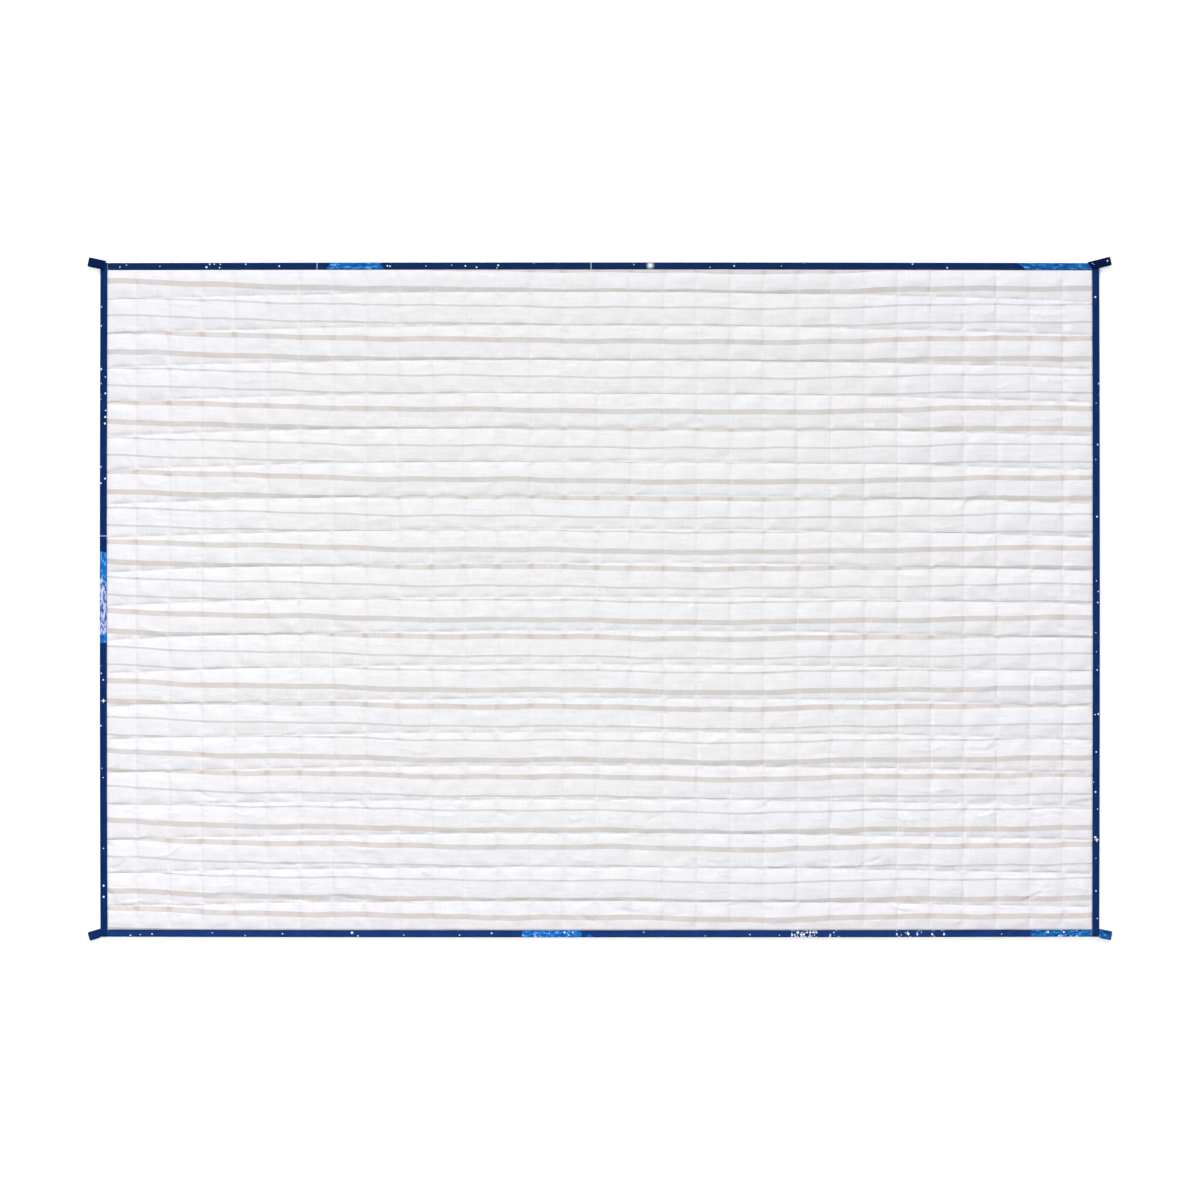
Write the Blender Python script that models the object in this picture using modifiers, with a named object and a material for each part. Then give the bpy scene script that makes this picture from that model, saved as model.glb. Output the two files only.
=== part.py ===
"""Weighted blanket, lying flat and face up: a quilted panel of filled pockets, four strips of folded
binding round its edge, and a loop of the same folded tape at each corner.

Metres. +X runs along the blanket's length, +Y across its width, +Z up from the surface it lies on.
The origin is the middle of the blanket, on that surface.
"""

import math

import bmesh
import bpy
from mathutils import Vector

MM = 0.001
INCH = 0.0254

# Driving sizes of the blanket
BLANKET_LENGTH = 60.0 * INCH  # over the binding
BLANKET_WIDTH = 40.5 * INCH
BINDING_WIDTH = 10.7 * MM  # as it shows on each face
BINDING_CLOTH = 1.0 * MM  # a double-folded tape
CLEARANCE = 0.3 * MM  # between pieces that are sewn to each other

# The quilting: a grid of pockets, sewn through along every row and column
COLUMNS = 30
ROWS = 20
COLUMN_PITCH = 50.45 * MM
ROW_PITCH = 51.5 * MM
CROWN_HEIGHT = 8.6 * MM  # top of a filled pocket
CROWN_UNEVEN = 0.7 * MM
SEAM_HEIGHT = 4.2 * MM  # top of the cloth midway along a seam
CROSSING_HEIGHT = 3.7 * MM  # top of the cloth where two seams cross
ROW_POINTS = (0.0, 0.22, 0.78)  # where a pocket has points across its row, as a share of the row
COLUMN_POINTS = (0.0, 0.5)

# The panel's bare edge, which lies inside the fold of the binding
EDGE_TOP = 3.7 * MM
EDGE_UNDERSIDE = 1.3 * MM
EDGE_FROM_OUTSIDE = 2.0 * MM

# How the blanket lies: the rows of sewing arch up the middle, the short ends bulge a little
ROW_ARCH = 11.2 * MM
ROW_LEAN = 1.5 * MM
ROW_LIFT = 5.3 * MM
ARCH_FADE = 0.25  # the top rows arch this share more than the middle ones, the bottom rows less
END_BULGE = 1.8 * MM
SIDE_BULGE = 1.0 * MM

# The corner loops. end is the short end of the blanket, tilt turns the loop off the X axis, root_y is where
# its middle leaves that end, and lap is how far its top layer lies back over the corner. With no lap, both
# layers are sewn into the edge
LOOP_COLUMNS = ("name", "end", "tilt_deg", "root_y", "reach", "width", "lap")
LOOPS = (
    ("loop_top_left", -1, 12.0, 512.0 * MM, 18.6 * MM, 14.0 * MM, 8.0 * MM),
    ("loop_top_right", 1, 14.0, 513.0 * MM, 18.0 * MM, 13.2 * MM, 14.0 * MM),
    ("loop_bottom_left", -1, -17.0, -508.6 * MM, 18.2 * MM, 13.4 * MM, 0.0),
    ("loop_bottom_right", 1, -11.0, -509.0 * MM, 18.8 * MM, 13.6 * MM, 0.0),
)
LOOP_CLOTH = 1.0 * MM
LOOP_GAP = 4.6 * MM  # between the two layers, where the fold springs open
LOOP_FOLD_STEPS = 6
LOOP_SPRING = 6.0 * MM  # how soon the two layers part
LOOP_ROOT = (2.0 * MM, 3.4 * MM)  # height of each layer's middle where both are sewn into the edge

BINDING_BLUE = (0.009, 0.035, 0.150, 1.0)
CLOTH_WHITE = (0.86, 0.85, 0.87, 1.0)

HALF_LENGTH = BLANKET_LENGTH / 2
HALF_WIDTH = BLANKET_WIDTH / 2
INNER = BINDING_WIDTH + CLEARANCE  # from the outer edge to where the pockets start


def clear_scene():
    for item in list(bpy.data.objects):
        bpy.data.objects.remove(item)


def cloth_material(name, colour, roughness):
    material = bpy.data.materials.new(name)
    material.use_nodes = True
    shader = material.node_tree.nodes["Principled BSDF"]
    shader.inputs["Base Color"].default_value = colour
    shader.inputs["Roughness"].default_value = roughness
    shader.inputs["Metallic"].default_value = 0.0
    return material


def add_object(name, shape, material, collection):
    """A mesh object from a bmesh."""
    mesh = bpy.data.meshes.new(name)
    shape.to_mesh(mesh)
    shape.free()
    mesh.materials.append(material)
    item = bpy.data.objects.new(name, mesh)
    collection.objects.link(item)
    return item


def end_edge(y):
    """How far the blanket's short ends lie from the middle, at y."""
    return HALF_LENGTH - END_BULGE * (y / HALF_WIDTH) ** 2


def side_edge(x):
    """How far its long sides lie from the middle, at x."""
    return HALF_WIDTH - SIDE_BULGE * (x / HALF_LENGTH) ** 2


def column_line(number, y):
    """x of a line of sewing at y. Lines 0 and COLUMNS are the inner edges of the binding."""
    middle = COLUMNS / 2
    if number in (0, COLUMNS):
        return math.copysign(end_edge(y) - INNER, number - middle)
    sway = END_BULGE * (1 - (y / HALF_WIDTH) ** 2) * (number - middle) / middle
    return (number - middle) * COLUMN_PITCH + sway


def row_line(number, x):
    """y of a line of sewing at x, counted from the bottom. Lines 0 and ROWS are the binding's inner edges."""
    middle = ROWS / 2
    if number in (0, ROWS):
        return math.copysign(side_edge(x) - INNER, number - middle)
    across = x / HALF_LENGTH
    arch = ROW_LIFT - ROW_LEAN * across - ROW_ARCH * across**2
    return (number - middle) * ROW_PITCH + arch * (1 + ARCH_FADE * (number - middle) / middle)


def between_lines(line, position, last, other):
    """A place between two neighbouring lines of sewing, at a fractional line number."""
    low = min(int(position), last - 1)
    share = position - low
    return line(low, other) * (1 - share) + line(low + 1, other) * share


def panel_plan(column, row):
    """x and y of a point of the panel, from its place among the lines of sewing."""
    y_near = (row - ROWS / 2) * ROW_PITCH
    x = between_lines(column_line, column, COLUMNS, y_near)
    return x, between_lines(row_line, row, ROWS, x)


def pocket_height(column, row):
    """z of the panel's top: high inside a pocket, low along the sewing, lowest where two lines cross."""
    on_column_line = column == int(column)
    on_row_line = row == int(row)
    if column in (0, COLUMNS) or row in (0, ROWS):
        return EDGE_TOP
    if on_column_line and on_row_line:
        return CROSSING_HEIGHT
    if on_column_line or on_row_line:
        return SEAM_HEIGHT
    uneven = math.sin(2.3 * int(column) + 4.1 * int(row)) * math.cos(1.7 * int(row))
    return CROWN_HEIGHT + CROWN_UNEVEN * uneven


def steps_along(pockets, points):
    """The places of the panel's points along one way, in pockets."""
    return [pocket + point for pocket in range(pockets) for point in points] + [pockets]


def edge_ring(shape, ring, outside, height):
    """Carries the panel's rim on by one band, to a ring that lies outside metres in from the outer edge."""
    new = bmesh.ops.extrude_edge_only(shape, edges=ring)["geom"]
    for point in (item for item in new if isinstance(item, bmesh.types.BMVert)):
        x, y, _ = point.co
        if abs(abs(x) - end_edge(y)) < 2 * INNER:
            x = math.copysign(end_edge(y) - outside, x)
        if abs(abs(y) - side_edge(x)) < 2 * INNER:
            y = math.copysign(side_edge(x) - outside, y)
        point.co = Vector((x, y, height))
    return [item for item in new if isinstance(item, bmesh.types.BMEdge)]


def make_panel(material, collection):
    """The quilted panel: one filled solid, flat underneath, with its pockets and sewn channels on top."""
    columns = steps_along(COLUMNS, COLUMN_POINTS)
    rows = steps_along(ROWS, ROW_POINTS)
    shape = bmesh.new()
    bmesh.ops.create_grid(shape, x_segments=len(columns) - 1, y_segments=len(rows) - 1, size=1.0)
    for point in shape.verts:
        column = columns[round((point.co.x + 1) / 2 * (len(columns) - 1))]
        row = rows[round((point.co.y + 1) / 2 * (len(rows) - 1))]
        point.co = (*panel_plan(column, row), pocket_height(column, row))
    ring = [edge for edge in shape.edges if edge.is_boundary]
    ring = edge_ring(shape, ring, EDGE_FROM_OUTSIDE, EDGE_TOP)
    ring = edge_ring(shape, ring, EDGE_FROM_OUTSIDE, EDGE_UNDERSIDE)
    ring = edge_ring(shape, ring, INNER, EDGE_UNDERSIDE)
    ring = edge_ring(shape, ring, INNER, 0.0)
    bmesh.ops.contextual_create(shape, geom=ring)
    bmesh.ops.recalc_face_normals(shape, faces=shape.faces)
    return add_object("quilted_panel", shape, material, collection)


def give_thickness(item, cloth):
    """Makes a strip of tape from the surface through its middle."""
    thickness = item.modifiers.new("Cloth thickness", "SOLIDIFY")
    thickness.thickness = cloth
    thickness.offset = 0.0
    thickness.use_even_offset = True


def fold_section():
    """The binding's fold, at the middle of its cloth: distance in from the outer edge, and height."""
    cloth = BINDING_CLOTH / 2
    top = EDGE_TOP + CLEARANCE + cloth
    return (
        (BINDING_WIDTH, cloth),
        (cloth + 1.0 * MM, cloth),
        (cloth, cloth + 1.0 * MM),
        (cloth, top - 1.0 * MM),
        (cloth + 1.0 * MM, top),
        (BINDING_WIDTH, top),
    )


def make_binding(name, place, steps, closed_ends, material, collection):
    """A strip of tape folded over the panel's edge. place(along, inward, height) gives a point of it, with
    along from -1 to 1. Closed ends are folded in, so that they cover the panel's corners."""
    section = fold_section()
    shape = bmesh.new()
    bmesh.ops.create_grid(shape, x_segments=steps, y_segments=len(section) - 1, size=1.0)
    for point in shape.verts:
        inward, height = section[round((point.co.y + 1) / 2 * (len(section) - 1))]
        point.co = place(point.co.x, inward, height)
    if closed_ends:
        for end in (-1, 1):
            last = max(end * point.co.y for point in shape.verts)
            rim = [edge for edge in shape.edges if all(end * p.co.y > last - 0.1 * MM for p in edge.verts)]
            bmesh.ops.contextual_create(shape, geom=rim)
    bmesh.ops.recalc_face_normals(shape, faces=shape.faces)
    give_thickness(add_object(name, shape, material, collection), BINDING_CLOTH)


def place_on_end(end):
    """Points of the strip along one short end, which runs the blanket's whole width."""
    reach = HALF_WIDTH - SIDE_BULGE - BINDING_CLOTH / 2

    def place(along, inward, height):
        y = along * reach
        return end * (end_edge(y) - inward), y, height

    return place


def place_on_side(side):
    """Points of the strip along one long side, which runs between the two end strips."""

    def place(along, inward, height):
        reach = end_edge(HALF_WIDTH) - BINDING_WIDTH - CLEARANCE - BINDING_CLOTH / 2
        x = along * reach
        return x, side * (side_edge(x) - inward), height

    return place


def fold_path(reach):
    """The round fold at a loop's outer end, from its lower layer up to its upper one."""
    radius = (LOOP_GAP + LOOP_CLOTH) / 2
    centre_out = reach - radius - LOOP_CLOTH / 2
    centre_up = radius + LOOP_CLOTH / 2
    turns = [math.pi * step / LOOP_FOLD_STEPS for step in range(LOOP_FOLD_STEPS + 1)]
    return [(centre_out + radius * math.sin(turn), centre_up - radius * math.cos(turn)) for turn in turns]


def lapped_path(reach, lap):
    """(distance out, height) along a loop's tape: out on the surface, round, and back over the corner."""
    low = LOOP_CLOTH / 2
    high = low + LOOP_GAP + LOOP_CLOTH
    on_binding = EDGE_TOP + CLEARANCE + BINDING_CLOTH + CLEARANCE + LOOP_CLOTH / 2
    start = [(0.0, low), (LOOP_SPRING, low)]
    return start + fold_path(reach) + [(LOOP_SPRING, high), (0.0, on_binding), (-lap, on_binding)]


def sewn_in_path(reach):
    """(distance out, height) along a loop's tape whose two layers leave the blanket's edge together."""
    low = LOOP_CLOTH / 2
    high = low + LOOP_GAP + LOOP_CLOTH
    shares = [step / 4 for step in range(5)]
    lower = [(LOOP_SPRING * share, low + (LOOP_ROOT[0] - low) * (1 - share) ** 2) for share in shares]
    upper = [(LOOP_SPRING * share, high + (LOOP_ROOT[1] - high) * (1 - share) ** 2) for share in shares]
    return lower + fold_path(reach) + upper[::-1]


def make_loop(size, material, collection):
    """A length of tape folded back on itself, with both its ends sewn to a corner of the blanket."""
    end = size["end"]
    tilt = math.radians(size["tilt_deg"])
    root = Vector((end * (end_edge(size["root_y"]) + CLEARANCE), size["root_y"], 0.0))
    along = Vector((end * math.cos(tilt), math.sin(tilt), 0.0))
    across_root = Vector((0.0, 1.0, 0.0))
    across_fold = Vector((-end * math.sin(tilt), math.cos(tilt), 0.0))
    path = lapped_path(size["reach"], size["lap"]) if size["lap"] else sewn_in_path(size["reach"])
    shape = bmesh.new()
    bmesh.ops.create_grid(shape, x_segments=len(path) - 1, y_segments=1, size=1.0)
    for point in shape.verts:
        out, height = path[round((point.co.x + 1) / 2 * (len(path) - 1))]
        share = min(max(out / size["reach"], 0.0), 1.0)
        across = across_root.lerp(across_fold, share).normalized()
        point.co = root + along * out + across * (point.co.y * size["width"] / 2) + Vector((0, 0, height))
    bmesh.ops.recalc_face_normals(shape, faces=shape.faces)
    give_thickness(add_object(size["name"], shape, material, collection), LOOP_CLOTH)


def main():
    clear_scene()
    collection = bpy.data.collections.new("Weighted blanket")
    bpy.context.scene.collection.children.link(collection)
    white = cloth_material("Striped cotton", CLOTH_WHITE, 0.9)
    blue = cloth_material("Binding tape", BINDING_BLUE, 0.8)
    make_panel(white, collection)
    make_binding("binding_left", place_on_end(-1), 12, True, blue, collection)
    make_binding("binding_right", place_on_end(1), 12, True, blue, collection)
    make_binding("binding_bottom", place_on_side(-1), 16, False, blue, collection)
    make_binding("binding_top", place_on_side(1), 16, False, blue, collection)
    for row in LOOPS:
        make_loop(dict(zip(LOOP_COLUMNS, row)), blue, collection)


main()
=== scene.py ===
"""Weighted blanket laid flat on a white studio floor and seen from straight above.

The panel's top cloth settles between its lines of sewing in a cloth simulation. The stripes are
woven: they follow the cloth, bend with it and dip into the sewing. Tape, loops and stitches are
pieces of their own.
"""

import math

import bmesh
import bpy
import numpy as np
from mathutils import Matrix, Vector


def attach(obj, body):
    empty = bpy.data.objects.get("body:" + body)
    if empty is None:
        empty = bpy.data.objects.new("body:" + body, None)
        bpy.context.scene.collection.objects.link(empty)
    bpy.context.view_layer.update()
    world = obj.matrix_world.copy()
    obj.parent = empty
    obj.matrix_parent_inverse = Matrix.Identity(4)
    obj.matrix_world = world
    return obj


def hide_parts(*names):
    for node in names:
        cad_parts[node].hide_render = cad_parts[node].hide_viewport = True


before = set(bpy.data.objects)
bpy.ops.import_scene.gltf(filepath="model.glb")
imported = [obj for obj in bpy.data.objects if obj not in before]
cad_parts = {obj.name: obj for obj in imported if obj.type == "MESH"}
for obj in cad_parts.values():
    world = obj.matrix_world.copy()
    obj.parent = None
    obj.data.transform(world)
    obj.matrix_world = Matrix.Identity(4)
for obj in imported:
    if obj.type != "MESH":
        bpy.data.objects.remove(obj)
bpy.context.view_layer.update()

MM = 0.001
SCENE = bpy.context.scene

# The blanket's plan
HALF_LENGTH = 763.2 * MM
HALF_WIDTH = 515.1 * MM
TAPE_WIDTH = 10.7 * MM
CLEARANCE = 0.3 * MM
INNER = TAPE_WIDTH + CLEARANCE
COLUMNS = 30
ROWS = 20
COLUMN_PITCH = 50.45 * MM
ROW_PITCH = 51.5 * MM
END_BULGE = 1.0 * MM
SIDE_BULGE = 1.0 * MM
ROW_ARCH = 11.2 * MM
ROW_LEAN = 1.5 * MM
ROW_LIFT = 5.3 * MM
ARCH_FADE = 0.25
COLUMN_DRIFT = 4.6 * MM  # the middle columns lie a little to the left
DRIFTING_COLUMNS = 23
LEFT_SAG = 5.5 * MM  # the rows hang lower by the left end
LINE_WANDER = 0.5 * MM

# The pockets
CROWN_HEIGHT = 8.5 * MM
CROWN_UNEVEN = 0.07
COLUMN_SEAM_HEIGHT = 6.2 * MM
ROW_SEAM_HEIGHT = 5.6 * MM
ROW_SEAM_FLATTER = 1.15 * MM  # how much higher the rows of sewing lie in the middle of the blanket
FLATTER_REACH = 380 * MM
NOTCH = 0.22 * MM  # how far the thread cuts in
NOTCH_REACH = 1.1 * MM
EDGE_TOP = 3.6 * MM
EDGE_UNDERSIDE = 1.35 * MM
EDGE_FROM_OUTSIDE = 2.1 * MM
# How much of the rise is right beside the sewing, at a pocket's lower and upper ends
ROW_PINCHES = (0.3, 0.06)
COLUMN_PINCHES = (0.05, 0.05)
PINCH_REACH = 1.0 * MM
ROW_POWERS = (2.6, 2.1)
COLUMN_POWERS = (2.8, 2.8)
BACK_POWERS = (5.0, 5.0)
BACK_PINCHES = (0.15, 0.15)
LUMPS = 0.24 * MM
TOP_SHARES = (0.0, 0.035, 0.07, 0.16, 0.25, 0.375, 0.5, 0.625, 0.75, 0.84, 0.93, 0.965)
BACK_SHARES = (0.0, 0.09, 0.5, 0.91)

# The cloth
STRIPE_REPEAT = 106.36 * MM
STRIPE_START = 495.3 * MM
# The stripes of one repeat, in mm: (middle, half width)
STRIPES = ((9.0, 3.6), (35.7, 1.3), (60.1, 1.3), (87.2, 3.6))
# How far the stripes dip below a straight line, in mm: (x, dip)
STRIPE_DIP = (
    (-780, 0.0), (-705, 1.5), (-640, 4.4), (-540, 7.0), (-420, 8.6), (-280, 11.4),
    (0, 13.0), (230, 16.2), (450, 12.4), (640, 10.7), (780, 10.7),
)
DIP_SMOOTHING = 30 * MM
SLIP = 0.55 * MM  # how far the cloth is shifted from pocket to pocket
# Small folds in the cloth between the lines of sewing, in mm and degrees
CREASE_COLUMNS = ("x", "y", "reach", "turn_deg", "height")
CREASES = (
    (-184, 61, 26, 4, -0.9), (-337, 113, 19, 0, -0.7), (-611, 277, 9, -30, 0.8),
    (-152, 259, 7, 80, 0.8), (-563, 334, 11, -50, 0.9), (-190, 477, 15, 30, 0.7),
    (-576, 119, 15, 80, 0.7), (-495, 252, 11, 30, 0.7), (-727, 297, 15, 0, -0.8),
    (-723, 281, 14, 6, -0.6), (115, 102, 32, 76, 0.6), (135, 110, 23, 74, 0.5),
    (122, 267, 31, 5, -0.9), (464, 152, 15, -6, -0.7), (549, 149, 38, 6, -0.8),
    (519, 56, 23, 12, 0.8), (502, 313, 7, 55, 0.8), (604, 310, 6, 60, 0.8), (542, 221, 27, 85, 0.6),
    (-706, -311, 44, 0, -1.0), (-572, -296, 53, 2, -0.9), (-457, -299, 38, -3, -0.8),
    (-207, -308, 11, 40, 0.8), (-99, -302, 11, -30, 0.8), (-145, -494, 14, -28, 0.9),
    (-106, -496, 14, 28, 0.9), (-450, -490, 9, 70, 0.7), (-430, -490, 9, 65, 0.7),
    (-651, -458, 15, -15, -0.8), (-604, -247, 8, 45, 0.8), (-242, -275, 23, 4, -0.6),
    (115, -32, 9, -50, 0.9), (144, -32, 9, 50, 0.9), (141, -14, 12, 25, 0.7),
    (208, -293, 11, -30, 0.8), (408, -52, 14, 35, 0.8), (595, -287, 42, 3, -0.9),
    (588, -310, 38, 2, -0.9), (699, -313, 42, 4, -1.0), (588, -249, 20, 35, 0.8),
    (572, -186, 31, 45, 0.7), (728, -446, 23, 10, -0.8), (32, -473, 23, -20, -0.7),
    (356, -290, 38, 4, -0.7),
)
CREASE_WIDTH = 4.0 * MM
# Finer ones, strewn at random
CREASE_SIZES = (
    {"Spacing": 82 * MM, "Width": 3.1 * MM, "Reach": 25 * MM, "Share": 0.8},
    {"Spacing": 37 * MM, "Width": 1.8 * MM, "Reach": 11.5 * MM, "Share": 0.6},
)
TAKE_UP = 2.5 * MM  # cloth swallowed on each side of a line of sewing
TAKE_UP_REACH = 0.9 * MM
EASE = 0.012  # how much larger than its pockets the cloth is cut
SETTLE_STEPS = 8  # squares of the settling cloth along a pocket
SETTLE_FRAMES = 12
SETTLE_CAP = 1.2 * MM
SETTLE_START = 0.12 * MM  # unevenness that the settling starts from
CLOTH_SETTINGS = {
    "quality": 5,
    "mass": 0.05,
    "tension_stiffness": 20.0,
    "compression_stiffness": 20.0,
    "shear_stiffness": 8.0,
    "bending_stiffness": 1.0,
    "air_damping": 2.0,
    "shrink_min": -EASE,
}

# The sewing
STITCH_PITCH = 3.3 * MM
STITCH_SIZE = (1.3 * MM, 0.27 * MM, 0.2 * MM)
STITCH_LIFT = 0.08 * MM
TAPE_STITCH_PITCH = 2.9 * MM
TAPE_STITCH_SIZE = (1.15 * MM, 0.2 * MM, 0.18 * MM)
TAPE_STITCH_LINE = 8.9 * MM  # from the blanket's edge
TAPE_STITCH_SINK = 0.12 * MM

# The tape
TAPE_SEAT = 3.7 * MM + CLEARANCE  # the underside of the tape's upper half
TAPE_CLOTH = 1.0 * MM
TAPE_WANDER = 0.22 * MM  # how far a strip's inner edge strays
TAPE_WAVE = 0.16 * MM  # how far its upper half rises and falls
LOOP_CLOTH = 1.0 * MM
LOOP_GAP = 4.6 * MM
LOOP_SPRING = 6.0 * MM
LOOP_ROOT = (2.0 * MM, 3.4 * MM)
LOOP_COLUMNS = ("name", "end", "tilt_deg", "root_y", "reach", "width", "lap")
LOOPS = (
    ("loop_top_left", -1, 12.0, 512.0 * MM, 18.6 * MM, 14.0 * MM, 8.0 * MM),
    ("loop_top_right", 1, 14.0, 513.0 * MM, 18.0 * MM, 13.2 * MM, 15.5 * MM),
    ("loop_bottom_left", -1, -17.0, -508.6 * MM, 18.2 * MM, 13.4 * MM, 0.0),
    ("loop_bottom_right", 1, -11.0, -509.0 * MM, 18.8 * MM, 13.6 * MM, 0.0),
)

# What is printed on each tape's own navy, in mm along it and across it: patches of light blue
# (start, end, slant, lightness), pale ones (start, end, slant), stars (along, across, size, turns,
# core), dots (along, across, size), ticks (along) and sprays of dots (start, end, share of them)
TAPE_PRINTS = {
    "top": {
        "tone": (0.0054, 0.0230, 0.099),
        "patches": ((-414.6, -332.2, -0.85, 0.75), (643.9, 760, 1.2, 0.68)),
        "stars": ((77, -0.4, 7.6, 7.0, 0.2), (77, -0.4, 4.6, 5.0, 0.42)),
        "ticks": (-431.4, -13.4),
        "dots": (
            (-732, 1, 1.1), (-722, -2, 0.9), (-671, 0, 0.9), (-600, 1.5, 1.9), (-595, -3, 1.3),
            (-588, -3, 1.1), (-580, 2, 1.2), (-579, -3, 1.0), (-540, -3, 1.2), (-489, 0, 1.4),
            (-324, 0, 1.4), (-320, 0.5, 1.3), (-265, 0, 0.9), (-226, -1, 0.9), (-205, 0, 1.3),
            (-188, 2, 1.4), (-155, -1, 1.6), (-157, 3, 1.0), (52, -2, 0.9), (168, 2, 0.9),
            (205, 0, 1.4), (277, 0, 0.8), (477, -3, 1.3), (530, 2.5, 1.4),
        ),
    },
    "bottom": {
        "tone": (0.0093, 0.0389, 0.170),
        "patches": ((-118.7, -27.7, 0.1, 1.0), (-16.5, -14.2, 1.0, 1.0), (657.2, 760, 0.0, 0.75)),
        "sprays": (
            (-100, -40, 0.25), (292, 332, 1.0), (349, 368, 0.5), (452, 491, 0.6), (505, 538, 0.45),
            (680, 730, 0.3),
        ),
        "stars": ((470, 0, 2.6, 5.0, 0.42),),
        "dots": (
            (-716, -3, 1.3), (-701, -2, 1.0), (-683, -1, 1.2), (-591, 1, 0.8), (-541, -3, 1.1),
            (-484, 0, 1.3), (-378, 1.5, 2.2), (-369, -3.5, 1.4), (-299, -2, 1.0), (-214, -2, 1.1),
            (-165, 1, 1.5), (67, 2.5, 1.2), (161, -3, 0.9), (229, -1, 1.1), (274, -2, 0.9),
            (302, 2, 2.4), (311, -1, 2.2), (321, 2, 2.0), (613, -1, 0.9),
        ),
    },
    "left": {
        "tone": (0.0025, 0.0227, 0.120),
        "patches": ((-65.7, 73.1, 0.2, 0.95),),
        "pale": ((-53.5, 30.4, 0.8),),
        "stars": ((-154, 0.5, 3.6, 2.0, 0.42),),
        "ticks": (97.5,),
        "dots": (
            (447, -3, 1.1), (418, -3.5, 1.3), (352, -3.5, 1.8), (340, 3, 1.1), (330, -3.5, 1.1),
            (315, 3, 1.6), (306, -4, 0.9), (289, 3.5, 1.3), (279, 3, 1.8), (269, 2.5, 1.8),
            (203, -3.5, 1.3), (185, 3, 1.7), (178, -3.5, 1.6), (-112, -3, 1.2), (-122, 0, 1.3),
            (-192, -4, 1.6), (-257, -2, 0.8), (-271, 0, 0.9), (-379, 0, 1.1), (-436, 0, 1.7),
            (-453, 0, 1.8),
        ),
    },
    "right": {
        "tone": (0.0040, 0.0255, 0.122),
        "stars": ((-366, -1, 3.6, 2.0, 0.42),),
        "dots": (
            (462, 1, 1.6), (330, -4, 1.6), (300, 0, 0.8), (237, -2, 1.4), (214, 1, 0.9),
            (127, -1, 1.4), (29, 0, 1.0), (13, -3, 1.2), (-4, -2, 1.3), (-50, 1, 0.9),
            (-79, 0, 0.8), (-107, -1, 1.3), (-174, -3, 1.6), (-175, 2, 1.2), (-232, 0, 1.3),
            (-278, 4, 0.9), (-293, 1, 1.5), (-319, -2, 0.9), (-362, 1.5, 1.9), (-394, 0, 0.8),
            (-444, 0, 1.3), (-486, -2, 1.0),
        ),
    },
}
LOOP_PRINTS = {
    "loop_top_left": {"tone": (0.0020, 0.0125, 0.066)},
    "loop_top_right": {
        "tone": (0.0012, 0.0100, 0.056),
        "stars": ((539, 1, 2.0, 2.0, 0.42),),
        "dots": ((562, 3.4, 0.5), (561, 2.2, 0.55), (560, 1.0, 0.5)),
    },
    "loop_bottom_left": {"tone": (0.0045, 0.0240, 0.112)},
    "loop_bottom_right": {"tone": (0.0085, 0.038, 0.17), "patches": ((-1000, 1000, 0.5, 0.55),)},
}

# Colours, as red, green and blue
MIDDLE_WHITE = (0.733, 0.7325, 0.745)  # the cotton in the middle of the blanket
# The cotton's white in a painted bluish light, used towards the rim and in random clouds
WHITE_IN_COOL_LIGHT = (0.742, 0.731, 0.767)
STRIPE_GREY = (0.44, 0.37, 0.32)
PATCH_BLUES = ((0.004, 0.078, 0.36), (0.012, 0.195, 0.65), (0.20, 0.52, 0.88))
PALE_BLUES = ((0.015, 0.11, 0.40), (0.50, 0.55, 0.78))
PRINTED_WHITE = (0.80, 0.84, 0.93)
WHITE_THREAD = (0.90, 0.895, 0.905)
NAVY_THREAD = (0.012, 0.03, 0.10)

# The studio. The camera looks straight down, from where the photograph was taken.
CAMERA_SPOT = (0.0003, -0.0002, 4.327)
LENS_MM = 85.0
SENSOR_MM = 36.0
FLOOR_SIZE = 20.0
WINDOW_SPOT = (0.0, 4.0, 2.3)
WINDOW_WIDTH_DEG = 30
WINDOW_LIGHT = 2.55
SOFTBOX_COLUMNS = ("name", "spot", "target", "size", "spread_deg", "power")
SOFTBOXES = (
    ("overhead", (-0.7, -0.2, 3.2), (0.0, 0.0, 0.0), (2.0, 3.2), 180, 64.8),
    ("left softbox", (-1.6, 0.0, 2.3), (1.5, 0.0, 0.0), (3.6, 0.5), 50, 6.2),
    ("right softbox", (1.6, 0.0, 2.3), (-1.5, 0.0, 0.0), (3.6, 0.5), 50, 5.8),
)
ROOM_TONE = (0.97, 0.98, 1.0)
ROOM_LIGHT = 0.165

chance = np.random.default_rng(41)
fill_of_pocket = chance.uniform(-1, 1, (ROWS, COLUMNS))
slip_of_pocket = chance.uniform(-1, 1, (ROWS + 1, COLUMNS))


# ---- The blanket's plan, as in the solids ----


def end_edge(y):
    return HALF_LENGTH - END_BULGE * (y / HALF_WIDTH) ** 2


def side_edge(x):
    return HALF_WIDTH - SIDE_BULGE * (x / HALF_LENGTH) ** 2


def column_line(number, y):
    """x of lines of sewing at y. The first and last are the inner edges of the tape."""
    middle = COLUMNS / 2
    inside = (number > 0) & (number < COLUMNS)
    sway = END_BULGE * (1 - (y / HALF_WIDTH) ** 2) * (number - middle) / middle
    drift = COLUMN_DRIFT * np.sin(np.pi * np.minimum(number, DRIFTING_COLUMNS) / DRIFTING_COLUMNS)
    wander = LINE_WANDER * np.sin(y / 0.041 + number * 2.4) * np.sin(y / 0.15 + number)
    line = (number - middle) * COLUMN_PITCH + sway - drift + wander
    return np.where(inside, line, np.sign(number - middle) * (end_edge(y) - INNER))


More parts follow.
